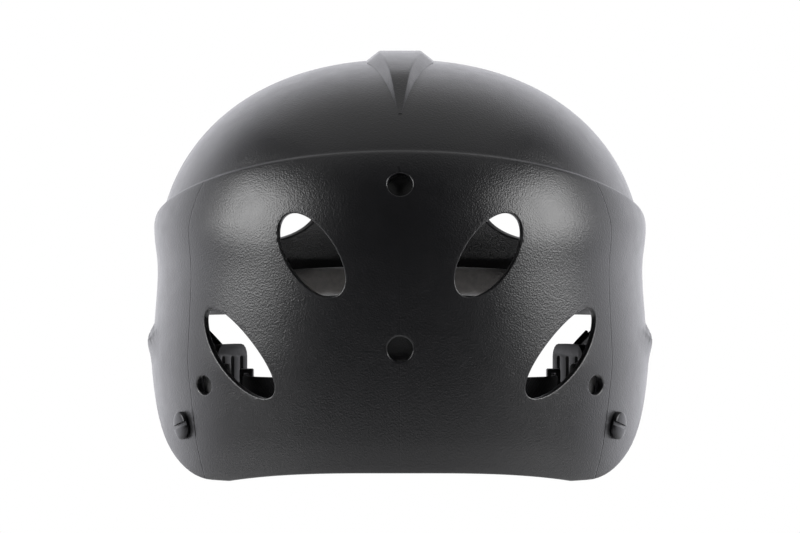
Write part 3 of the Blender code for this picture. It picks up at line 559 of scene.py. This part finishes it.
def shell_column(angle):
    """One upright profile of the wall: crown, dome, lip, skirt, rim, and back up inside."""
    lip = lip_height(angle)
    rim = rim_level(angle) + RIM_ROUND
    outer = [skirt_point(angle, rim + (lip + LIP_STEPS[0][0] - rim) * k / SKIRT_ROWS)
             for k in range(SKIRT_ROWS)]
    for offset, share in LIP_STEPS:
        height = lip + offset
        outer.append(skirt_point(angle, height).lerp(dome_point(angle, height), share))
    foot = lip + LIP_STEPS[-1][0] + 0.001
    start = math.asin(((foot - BASE_HEIGHT) / DOME_HEIGHT) ** (DOME_POWER / 2))
    for k in range(DOME_ROWS + 1):
        turn = start + (math.pi / 2 - start) * k / DOME_ROWS
        height = BASE_HEIGHT + DOME_HEIGHT * math.sin(turn) ** (2 / DOME_POWER)
        outer.append(dome_point(angle, height))
    outer[-1] = Vector((0, 0, BASE_HEIGHT + DOME_HEIGHT))

    edge = wall_frame(angle, rim, 0.0, lip)
    corner = skirt_point(angle, rim)
    outward = edge.to_3x3().col[2]
    downward = -edge.to_3x3().col[1]
    rounding = []
    for k in range(1, ROUNDING_STEPS + 1):
        turn = math.radians(90 * k / ROUNDING_STEPS)
        rounding.append(corner + outward * RIM_ROUND * (math.cos(turn) - 1)
                        + downward * RIM_ROUND * math.sin(turn))
    for k in range(ROUNDING_STEPS):
        turn = math.radians(90 * k / ROUNDING_STEPS)
        rounding.append(corner + outward * (RIM_ROUND * (1 - math.sin(turn)) - WALL)
                        + downward * RIM_ROUND * math.cos(turn))

    base = math.asin(((lip - BASE_HEIGHT) / DOME_HEIGHT) ** (DOME_POWER / 2))
    inner = []
    for k in range(INNER_ROWS):
        share = k / INNER_ROWS
        if share < INNER_SKIRT_SHARE:
            height = rim + (lip - rim) * share / INNER_SKIRT_SHARE
        else:
            turn = base + (math.pi / 2 - base) * (share - INNER_SKIRT_SHARE) / (1 - INNER_SKIRT_SHARE)
            height = BASE_HEIGHT + DOME_HEIGHT * math.sin(turn) ** (2 / DOME_POWER)
        point = wall_frame(angle, height, WALL, lip).translation
        if abs(abs(angle) - 90) < 1e-6:
            point.x = 0.0
        inner.append(point)
    inner.append(Vector((0, 0, BASE_HEIGHT + DOME_HEIGHT - WALL)))
    return outer[::-1] + rounding + inner


def column_angles(count):
    """Angles round one half, closer together near the middle plane where the spine is."""
    shares = [k / count for k in range(count + 1)]
    return [-90 + 180 * (0.35 * t + 0.65 * (0.5 - 0.5 * math.cos(math.pi * t))) for t in shares]


def opening_cutter(wall, frame_at, half_long, half_wide, tilt, sides=72):
    """Closed cutter through the wall whose ends flare to round both edges of the opening."""
    turn = math.radians(tilt)
    outward = frame_at.to_3x3().col[2]
    level = frame_at.to_3x3().col[0]
    upward = frame_at.to_3x3().col[1]
    long_way = upward * math.cos(turn) - level * math.sin(turn)
    wide_way = level * math.cos(turn) + upward * math.sin(turn)
    arc = [math.radians(90 * k / ROUNDING_STEPS) for k in range(ROUNDING_STEPS + 1)]
    near = [(0.010, EDGE_ROUND * 1.6), (0.0004, EDGE_ROUND * 1.15)]
    near += [(-EDGE_ROUND * (1 - math.cos(a)), EDGE_ROUND * (1 - math.sin(a))) for a in arc]
    far = [(-WALL - height, flare) for height, flare in reversed(near)]
    rings = []
    bm = bmesh.new()
    for height, flare in near + far:
        ring = []
        for k in range(sides):
            a = 2 * math.pi * k / sides
            base = (frame_at.translation + long_way * math.cos(a) * (half_long + flare)
                    + wide_way * math.sin(a) * (half_wide + flare))
            hit, spot, _, _ = wall.ray_cast(base + outward * 0.03, -outward)
            lift = (spot - base).dot(outward) if hit else 0.0
            ring.append(bm.verts.new(base + outward * (lift + height)))
        rings.append(ring)
    bridge_rings(bm, rings)
    return mesh_piece("opening", bm)


def make_spine():
    """Closed wedge over the crown, its flat top narrowing to a point at both ends."""
    bm = bmesh.new()
    rings = []
    for k in range(SPINE_STATIONS + 1):
        y = SPINE_TIP * (2 * k / SPINE_STATIONS - 1)
        straight = min((SPINE_TIP - abs(y)) / (SPINE_TIP - SPINE_WIDE), 1.0)
        half = SPINE_TIP_HALF + (SPINE_HALF_BASE - SPINE_TIP_HALF) * straight
        depth = REAR_DEPTH if y > 0 else FRONT_DEPTH
        surface = BASE_HEIGHT + DOME_HEIGHT * (1 - (abs(y) / depth) ** DOME_POWER) ** (1 / DOME_POWER)
        edge = surface - SPINE_SINK / 4
        top = surface + SPINE_HEIGHT * ease(straight / 0.45) + 0.0003
        shoulder = half * SPINE_TOP_SHARE
        corner = [(half + (shoulder - half) * t, edge + (top - edge) * t) for t in (0.0, 0.5, 0.88)]
        corner += [(half + (shoulder - half) * 0.97, edge + (top - edge) * 0.96),
                   (shoulder * 0.96, edge + (top - edge) * 0.995), (shoulder * 0.88, top)]
        foot = surface - SPINE_SINK
        ring = [(-half, foot), (half, foot)] + corner + [(-x, z) for x, z in reversed(corner)]
        rings.append([bm.verts.new((x, y, z)) for x, z in ring])
    bridge_rings(bm, rings)
    return mesh_piece("spine", bm)


def make_shell(material):
    """Fine shell: one closed wall, mirrored, then its openings cut."""
    columns = [shell_column(angle) for angle in column_angles(SHELL_COLUMNS)]
    rows = len(columns[0]) - 1
    shell = grid_piece(SHELL_COLUMNS, rows, lambda share, row: columns[round(share * SHELL_COLUMNS)][row])
    for vertex in shell.data.vertices:
        if abs(vertex.co.x) < 1e-6:
            vertex.co.x = 0.0
    merge_and_face_out(shell)
    apply_modifier(shell, "MIRROR", merge_threshold=0.00001)
    merge_and_face_out(shell)
    spine = make_spine()
    apply_modifier(shell, "BOOLEAN", object=spine, operation="UNION", solver="EXACT")
    bpy.data.objects.remove(spine)
    bpy.context.view_layer.update()
    cutters = []
    for vent in (UPPER_VENT, LOWER_VENT, FRONT_VENT, SIDE_HOLE):
        for _, sign in SIDES:
            cutters.append(opening_cutter(shell, outer_frame(vent, sign), vent["half_long"],
                                          vent["half_wide"], vent["tilt"] * sign))
    for height in CENTRE_HOLES:
        cutters.append(opening_cutter(shell, outer_frame(dict(angle=90, height=height)),
                                      CENTRE_HOLE_RADIUS, CENTRE_HOLE_RADIUS, 0))
    for _, sign in SIDES:
        for anchor in (FRONT_ANCHOR, REAR_ANCHOR):
            cutters.append(opening_cutter(shell, outer_frame(anchor, sign),
                                          ANCHOR_HOLE_RADIUS, ANCHOR_HOLE_RADIUS, 0, 32))
    deselect()
    for cutter in cutters:
        cutter.select_set(True)
    bpy.context.view_layer.objects.active = cutters[0]
    bpy.ops.object.join()
    cutter = bpy.context.object
    apply_modifier(shell, "BOOLEAN", object=cutter, operation="DIFFERENCE", solver="EXACT")
    bpy.data.objects.remove(cutter)
    smooth(shell, 32)
    return finish_piece(shell, "helmet_shell", material, "helmet", ("shell",))


# ---- hardware ------------------------------------------------------------------------------
def node_copy(node):
    """A welded copy of a CAD node's mesh, its flat faces whole again."""
    source = frame["nodes"][node]
    item = bpy.data.objects.new(f"fine_{node}", source.data.copy())
    bpy.context.scene.collection.objects.link(item)
    item.matrix_world = source.matrix_world.copy()
    activate(item)
    bpy.ops.object.mode_set(mode="EDIT")
    bpy.ops.mesh.select_all(action="SELECT")
    bpy.ops.mesh.remove_doubles(threshold=0.00002)
    bpy.ops.mesh.dissolve_limited(angle_limit=math.radians(1))
    bpy.ops.object.mode_set(mode="OBJECT")
    return item


def refine(node, body, slot, width):
    """Replace a moulded or turned CAD node by a copy with rounded edges."""
    item = node_copy(node)
    apply_modifier(item, "BEVEL", width=width, segments=3, limit_method="ANGLE",
                   angle_limit=math.radians(35), use_clamp_overlap=True)
    smooth(item, 40)
    return finish_piece(item, f"fine_{node}", finishes[slot], body, (node,))


def lathe(profile, matrix, sides=64):
    """Turned piece from (radius, height) points about the matrix's Z axis."""
    bm = bmesh.new()
    rings = []
    for radius, height in profile:
        if radius < 1e-7:
            rings.append([bm.verts.new((0, 0, height))])
            continue
        rings.append([bm.verts.new((radius * math.cos(2 * math.pi * k / sides),
                                    radius * math.sin(2 * math.pi * k / sides), height))
                      for k in range(sides)])
    for first, second in zip(rings, rings[1:]):
        for k in range(sides):
            following = (k + 1) % sides
            corners = [first[k % len(first)], first[following % len(first)],
                       second[following % len(second)], second[k % len(second)]]
            bm.faces.new(list(dict.fromkeys(corners)))
    bmesh.ops.recalc_face_normals(bm, faces=bm.faces)
    bmesh.ops.transform(bm, matrix=matrix, verts=bm.verts)
    return mesh_piece("lathe", bm)


def make_screw(end, anchor, side, sign):
    """Slotted pan head with a rounded crown, its shank in the post."""
    node = f"{end}_screw_{side}"
    place = outer_frame(anchor, sign)
    rise = SCREW_HEAD_HEIGHT + SEAT_GAP
    dome = [(SCREW_HEAD_RADIUS * math.sin(t), rise - 0.0010 * (1 - math.cos(t)))
            for t in [math.radians(90 * k / 10) for k in range(9)]]
    shoulder = [(SCREW_HEAD_RADIUS, rise - 0.0011), (SCREW_HEAD_RADIUS, SEAT_GAP + 0.0002),
                (SCREW_HEAD_RADIUS - 0.0002, SEAT_GAP)]
    tip = -(WALL + 0.0027)
    shank = [(SHANK_RADIUS, SEAT_GAP), (SHANK_RADIUS, tip + 0.0004), (SHANK_RADIUS - 0.0004, tip), (0, tip)]
    screw = lathe(dome + shoulder + shank, place)
    deselect()
    bpy.ops.mesh.primitive_cube_add(size=1)
    slot = bpy.context.object
    turn = Matrix.Rotation(math.radians(SLOT_TURN * sign), 4, "Z")
    slot.matrix_world = (place @ Matrix.Translation((0, 0, rise)) @ turn
                         @ Matrix.Diagonal((0.03, SCREW_SLOT_WIDTH, 2 * SCREW_SLOT_DEPTH, 1)))
    bpy.context.view_layer.update()
    apply_modifier(screw, "BOOLEAN", object=slot, operation="DIFFERENCE", solver="EXACT")
    bpy.data.objects.remove(slot)
    apply_modifier(screw, "BEVEL", width=0.00015, segments=2, limit_method="ANGLE",
                   angle_limit=math.radians(50))
    smooth(screw, 40)
    finish_piece(screw, f"fine_{node}", finishes["screw_steel"], "helmet", (node,))


def make_hardware():
    for side, sign in SIDES:
        for end, anchor in (("front", FRONT_ANCHOR), ("rear", REAR_ANCHOR)):
            make_screw(end, anchor, side, sign)
            refine(f"{end}_post_{side}", "helmet", "screw_steel", 0.0003)
            refine(f"{end}_tab_{side}", "helmet", "harness_plastic", 0.0005)
        refine(f"strap_divider_{side}", "helmet", "harness_plastic", 0.0007)
        refine(f"strap_keeper_{side}", f"keeper_{side}", "harness_plastic", 0.0004)
    refine("buckle_female", "chin_loop", "harness_plastic", 0.0006)
    refine("buckle_male", "buckle_slider", "harness_plastic", 0.0005)


# ---- webbing -------------------------------------------------------------------------------
def ribbon(name, centres, across, body, replaced=()):
    """Woven strap along its centres: thick, edge-rounded, mapped in metres."""
    lengths = [0.0]
    for first, second in zip(centres, centres[1:]):
        lengths.append(lengths[-1] + (second - first).length)
    rows = len(centres) - 1
    strap = grid_piece(STRAP_COLUMNS, rows,
                       lambda share, row: centres[row] + across[row] * WEBBING_WIDTH * (share - 0.5))
    chart = strap.data.uv_layers.active.data
    for polygon in strap.data.polygons:
        for corner in polygon.loop_indices:
            share, along = chart[corner].uv
            chart[corner].uv = (lengths[round(along * rows)], share * WEBBING_WIDTH)
    apply_modifier(strap, "SOLIDIFY", thickness=WEBBING_THICK, offset=0.0)
    apply_modifier(strap, "BEVEL", width=0.0004, segments=2, limit_method="ANGLE",
                   angle_limit=math.radians(60))
    smooth(strap, 50)
    return finish_piece(strap, name, finishes["webbing"], body, replaced)


def divider_place():
    """Middle of a divider plate: X along its length, Y up, Z out."""
    turn = math.radians(DIVIDER_TURN)
    length_way = Vector((math.sin(turn), math.cos(turn), 0))
    upward = Vector((0, 0, 1))
    matrix = Matrix((length_way, upward, length_way.cross(upward))).transposed().to_4x4()
    matrix.translation = Vector((HALF_WIDTH - LOOP_INSET + DIVIDER_STANDOFF, PIVOT_Y,
                                 LOOP_LEVEL + DIVIDER_LIFT))
    return matrix


def thread_rows(name, rows, body):
    """Stitches: one short bevelled curve per stitch, made one mesh."""
    data = bpy.data.curves.new(name, "CURVE")
    data.dimensions = "3D"
    data.bevel_depth = THREAD_RADIUS
    data.bevel_resolution = 1
    data.use_fill_caps = True
    for points in rows:
        spline = data.splines.new("POLY")
        spline.points.add(len(points) - 1)
        for spot, point in zip(spline.points, points):
            spot.co = (*point, 1)
    curve = bpy.data.objects.new(name, data)
    bpy.context.scene.collection.objects.link(curve)
    bpy.context.view_layer.update()
    mesh = bpy.data.meshes.new_from_object(curve.evaluated_get(bpy.context.evaluated_depsgraph_get()))
    bpy.data.objects.remove(curve)
    item = bpy.data.objects.new(name, mesh)
    bpy.context.scene.collection.objects.link(item)
    return finish_piece(item, name, finishes["thread"], body)


def bar_tack(centre, along, across, outward, lift=SINGLE_TACK_LIFT):
    """Boxed stitches with a cross, on both faces of a strap."""
    rows = []
    for face in (1, -1):
        base = centre + outward * lift * face
        corners = [base + along * TACK_LENGTH / 2 * a + across * TACK_WIDTH / 2 * b
                   for a, b in ((1, 1), (1, -1), (-1, -1), (-1, 1), (1, 1))]
        lines = list(zip(corners, corners[1:])) + [(corners[0], corners[2]), (corners[1], corners[3])]
        for first, second in lines:
            count = max(round((second - first).length / STITCH_PITCH), 2)
            for k in range(count):
                start = first.lerp(second, k / count)
                stop = first.lerp(second, (k + 0.75) / count)
                sink = outward * face * STITCH_SINK
                rows.append((start - sink, first.lerp(second, (k + 0.35) / count), stop - sink))
    return rows


def make_v_strap(end, anchor, slot_x, slot_y, side, sign):
    """Webbing from an anchor tab to the divider, doubled back and sewn at both ends."""
    plate = divider_place()
    target = plate @ Vector((slot_x, slot_y, DIVIDER_THICK / 2 + WEBBING_THICK))
    frame_at = wall_frame(anchor["angle"], anchor["height"])
    towards = frame_at.inverted() @ target
    frame_at = frame_at @ Matrix.Rotation(math.atan2(towards.y, towards.x), 4, "Z")
    depth = WALL + TAB_STANDOFF + TAB_THICK / 2
    reach = TAB_LENGTH - TAB_WIDTH / 2
    first = frame_at @ Vector((reach + SEAT_GAP, 0, -depth))
    way, side_start, _ = (frame_at.to_3x3().col[k] for k in range(3))
    face = plate.to_3x3().col[2]
    side_end = (side_start - face * side_start.dot(face)).normalized()
    pull = (target - first).length * STRAP_PULL
    arrive = (target - first).normalized()
    leaving = first + way * pull
    arriving = target - arrive * pull
    centres = []
    across = []
    for k in range(STRAP_STEPS + 1):
        t = k / STRAP_STEPS
        point = (first * (1 - t) ** 3 + leaving * 3 * t * (1 - t) ** 2 + arriving * 3 * t * t * (1 - t)
                 + target * t ** 3)
        wide = side_start.lerp(side_end, t).normalized()
        centres.append(Vector((point.x * sign, point.y, point.z)))
        across.append(Vector((wide.x * sign, wide.y, wide.z)))
    ribbon(f"{end}_webbing_{side}", centres, across, "helmet", (f"{end}_strap_{side}",))
    tacks = []
    for k, outer_side in ((FOLD_MIDDLE, -1), (STRAP_STEPS - FOLD_MIDDLE, 1)):
        along = (centres[k + 1] - centres[k]).normalized()
        outward = along.cross(across[k]).normalized()
        layer = range(k - FOLD_REACH, k + FOLD_REACH + 1)
        doubled = [centres[j] + outward * (WEBBING_THICK + 0.0001) * outer_side for j in layer]
        ribbon(f"{end}_fold_{side}_{k}", doubled, [across[j] for j in layer], "helmet")
        middle = centres[k] + (doubled[FOLD_REACH] - centres[k]) / 2
        tacks += bar_tack(middle, along, across[k], outward, DOUBLE_TACK_LIFT)
    thread_rows(f"{end}_stitches_{side}", tacks, "helmet")


def chin_route(end_x):
    """Centres of the chin strap from the divider to end_x on its rear run."""
    half, rear = HALF_WIDTH - LOOP_INSET, REAR_DEPTH - LOOP_REAR_INSET
    corner_x, corner_y = half - LOOP_CORNER, rear - LOOP_CORNER
    route = [Vector((half, PIVOT_Y + (corner_y - PIVOT_Y) * k / CHIN_SIDE_STEPS, LOOP_LEVEL))
             for k in range(CHIN_SIDE_STEPS)]
    for k in range(CHIN_CORNER_STEPS + 1):
        turn = math.radians(90 * k / CHIN_CORNER_STEPS)
        route.append(Vector((corner_x + LOOP_CORNER * math.cos(turn),
                             corner_y + LOOP_CORNER * math.sin(turn), LOOP_LEVEL)))
    route += [Vector((corner_x + (end_x - corner_x) * k / CHIN_REAR_STEPS, rear, LOOP_LEVEL))
              for k in range(1, CHIN_REAR_STEPS + 1)]
    return route


def make_chin_strap(side, sign, end_x):
    centres = [Vector((p.x * sign, p.y, p.z)) for p in chin_route(end_x)]
    upward = [Vector((0, 0, 1))] * len(centres)
    ribbon(f"chin_webbing_{side}", centres, upward, "chin_loop", (f"chin_strap_{side}",))
    tacks = bar_tack(centres[5], Vector((0, 1, 0)), Vector((0, 0, 1)), Vector((1, 0, 0)))
    near_buckle = Vector(((abs(end_x) + 0.010) * sign, REAR_DEPTH - LOOP_REAR_INSET, LOOP_LEVEL))
    tacks += bar_tack(near_buckle, Vector((1, 0, 0)), Vector((0, 0, 1)), Vector((0, 1, 0)))
    thread_rows(f"chin_stitches_{side}", tacks, "chin_loop")


def make_webbing():
    for side, sign in SIDES:
        make_v_strap("front", FRONT_ANCHOR, *FRONT_SLOT, side, sign)
        make_v_strap("rear", REAR_ANCHOR, *REAR_SLOT, side, sign)
    make_chin_strap("left", 1, BUCKLE_BODY_LENGTH + 2 * SEAT_GAP)
    make_chin_strap("right", -1, BUCKLE_PLATE_LENGTH / 3)


# ---- pads ----------------------------------------------------------------------------------
def towards_wall(point):
    """Direction from the middle of the head space to the wall."""
    return Vector((point.x, point.y, (point.z - BASE_HEIGHT) * 1.2)).normalized()


def swell_pad(node, voxel, cap):
    """Padded cover from the CAD pad: rounded, blown up as cloth, then kept to its seat."""
    pad = node_copy(node)
    guide = node_copy(node)
    bpy.context.view_layer.update()
    apply_modifier(pad, "REMESH", mode="VOXEL", voxel_size=voxel)
    apply_modifier(pad, "SMOOTH", factor=0.5, iterations=4)
    apply_modifier(pad, "DISPLACE", strength=-PAD_SHRINK, mid_level=0.0)
    activate(pad)
    cloth = pad.modifiers.new("cloth", "CLOTH")
    cloth.settings.use_pressure = True
    cloth.settings.uniform_pressure_force = PAD_PRESSURE
    cloth.settings.quality = 5
    cloth.settings.effector_weights.gravity = 0
    rest = [vertex.co.copy() for vertex in pad.data.vertices]
    scene = bpy.context.scene
    for step in range(1, PAD_FRAMES + 1):
        scene.frame_set(step)
    bpy.ops.object.modifier_apply(modifier=cloth.name)
    scene.frame_set(1)
    for vertex, start in zip(pad.data.vertices, rest):
        move = vertex.co - start
        if move.length > cap:
            vertex.co = start + move.normalized() * cap
    for vertex in pad.data.vertices:
        found, spot, normal, _ = guide.closest_point_on_mesh(vertex.co)
        if not found:
            continue
        outside = (vertex.co - spot).dot(normal)
        room = PAD_OVER_SEAT if towards_wall(spot).dot(normal) > -0.3 else cap
        if outside > room:
            vertex.co = spot + normal * room
    bpy.data.objects.remove(guide)
    apply_modifier(pad, "SUBSURF", levels=1, render_levels=1)
    # how far each point faces away from the wall; the pad material paints shade from it on the parts that
    # face the wall
    inward = pad.data.attributes.new("faces_away_from_wall", "FLOAT", "POINT")
    for vertex in pad.data.vertices:
        inward.data[vertex.index].value = max(-towards_wall(vertex.co).dot(vertex.normal), 0.0)
    activate(pad)
    bpy.ops.object.shade_smooth()
    finish_piece(pad, f"cover_{node}", finishes["pad_foam"], "helmet", (node,))


def make_pads():
    for node in ("brow_pad", "nape_pad", "crown_pad", "side_pad_left", "side_pad_right"):
        swell_pad(node, 0.0035, 0.0022)
    for side, _ in SIDES:
        swell_pad(f"spot_pad_{side}", 0.0025, 0.0012)


# ---- assembly ------------------------------------------------------------------------------
make_studio()
finishes = {
    "shell_abs": make_shell_finish(),
    "pad_foam": make_pad_finish(),
    "webbing": make_webbing_finish(),
    "thread": make_thread_finish(),
    "harness_plastic": make_plastic_finish(),
    "screw_steel": make_screw_finish(),
}
slot_of = {row["node"]: row["material_slot"] for row in frame["record"]["subparts"]}
for node, item in frame["nodes"].items():
    item.data.materials.clear()
    item.data.materials.append(finishes[slot_of[node]])
make_shell(finishes["shell_abs"])
make_hardware()
make_webbing()
make_pads()
